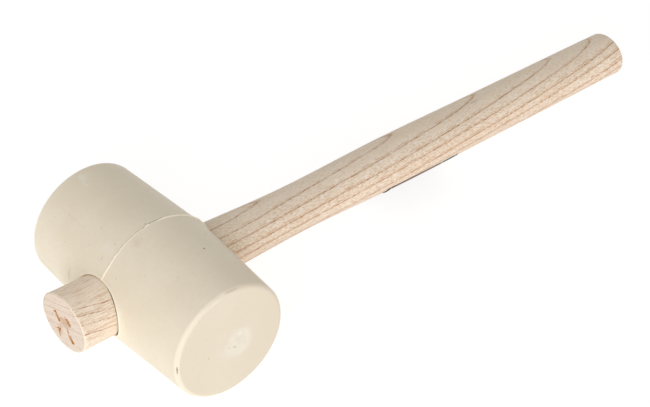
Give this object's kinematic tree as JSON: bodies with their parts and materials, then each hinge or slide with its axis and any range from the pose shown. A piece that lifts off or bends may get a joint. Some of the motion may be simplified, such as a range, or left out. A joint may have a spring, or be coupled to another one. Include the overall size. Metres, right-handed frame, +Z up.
{
  "type": "rubber mallet",
  "caption": "Mallet with a double-tapered solid cream rubber head and a flared oval ash handle pushed through its eye, lying on a surface.",
  "frame": {"origin": "under the middle of the bounding box, on the surface that the mallet lies on", "axes": "+X along the head towards one striking face, +Y along the ground from the head towards the grip end, +Z up. The handle itself drops 4.4 degrees towards its grip end, which rests on the surface."},
  "size_m": [0.1108, 0.3422, 0.0657],
  "materials": {
    "head_rubber": "satin cream moulded rubber with faint scuffs",
    "handle_wood": "sanded bare ash with brown growth rings",
    "label_film": "thin printed film, dark with a teal end band and no lettering"
  },
  "bodies": {
    "root": {"rubber_head": "head_rubber", "wooden_handle": "handle_wood", "handle_label": "label_film"}
  },
  "joints": []
}
